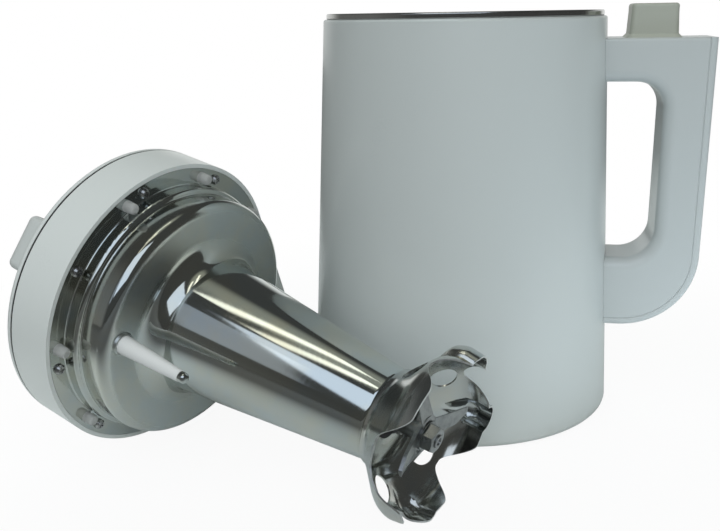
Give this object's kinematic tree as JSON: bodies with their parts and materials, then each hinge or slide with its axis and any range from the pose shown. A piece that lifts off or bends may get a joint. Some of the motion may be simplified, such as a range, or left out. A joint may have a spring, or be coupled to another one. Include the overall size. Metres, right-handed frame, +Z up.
{
  "type": "soy-milk maker",
  "caption": "Tapered jug with steel liner and plug-topped handle, beside its lifted-off motor head: pear-shaped lid, steel drum and tube, level electrode and guarded blade.",
  "frame": {"origin": "centre of the jug's underside, on the surface it stands on", "axes": "+Z up along the jug's axis, +X towards the jug's handle; the motor head lies on the -X, -Y side"},
  "size_m": [0.34, 0.2711, 0.2187],
  "materials": {
    "white_plastic": "smooth moulded",
    "ivory_plastic": "moulded",
    "dark_plastic": "fine grain",
    "polished_steel": "polished",
    "brushed_steel": "brushed",
    "aluminium": "cast",
    "brass": "turned",
    "copper": "enamelled wire",
    "silicone": "soft",
    "rubber": "moulded",
    "board": "lacquered",
    "lens": "tinted"
  },
  "bodies": {
    "jug": {"jug_shell": "white_plastic", "jug_liner": "polished_steel", "heater_plate": "aluminium", "heater_element": "aluminium", "thermostat": "dark_plastic", "base_cover": "white_plastic", "feet": "rubber", "base_screws": "brushed_steel", "power_inlet": "dark_plastic", "inlet_pins": "brass", "handle_body": "white_plastic", "handle_spine": "white_plastic", "handle_screws": "brushed_steel", "coupler_tower": "ivory_plastic", "coupler_cap": "ivory_plastic", "coupler_sleeves": "brass", "coupler_leads": "dark_plastic"},
    "head": {"lid_band": "white_plastic", "lid_trim": "dark_plastic", "lid_cover": "white_plastic", "lid_grip": "white_plastic", "control_panel": "dark_plastic", "indicator_lenses": "lens", "control_board": "board", "board_switches": "dark_plastic", "coupler_socket": "ivory_plastic", "socket_contacts": "brass", "head_shell": "polished_steel", "flange_screws": "brushed_steel", "rest_pegs": "silicone", "electrode_collar": "polished_steel", "electrode_sleeve": "ivory_plastic", "electrode_tip": "polished_steel", "blade_guard": "polished_steel", "guard_screws": "brushed_steel", "motor_frame": "aluminium", "motor_stator": "brushed_steel", "stator_coils": "copper", "motor_cap": "aluminium", "upper_bearing": "brushed_steel", "bearing_carrier": "white_plastic", "lower_bearing": "brushed_steel", "shaft_seal": "rubber"},
    "rotor": {"shaft": "polished_steel", "rotor_core": "brushed_steel", "blade": "polished_steel", "blade_washer": "polished_steel", "blade_nut": "polished_steel"},
    "button_1": {"button_1": "white_plastic"},
    "button_2": {"button_2": "white_plastic"},
    "button_3": {"button_3": "white_plastic"}
  },
  "joints": [
    {"name": "head_lift", "type": "slide", "parent": "jug", "child": "head", "axis": [0, 0, 1], "range_m": [0, 0.25]},
    {"name": "blade_spin", "type": "hinge", "parent": "head", "child": "rotor", "pos_m": [-0.143, -0.0877, 0.07334], "axis": [0.894, -0.3962, -0.2091], "continuous": true},
    {"name": "button_1_press", "type": "slide", "parent": "head", "child": "button_1", "axis": [0.894, -0.3962, -0.2091], "range_m": [0, 0.001], "stiffness_N_per_m": 800},
    {"name": "button_2_press", "type": "slide", "parent": "head", "child": "button_2", "axis": [0.894, -0.3962, -0.2091], "range_m": [0, 0.001], "stiffness_N_per_m": 800},
    {"name": "button_3_press", "type": "slide", "parent": "head", "child": "button_3", "axis": [0.894, -0.3962, -0.2091], "range_m": [0, 0.001], "stiffness_N_per_m": 800}
  ]
}
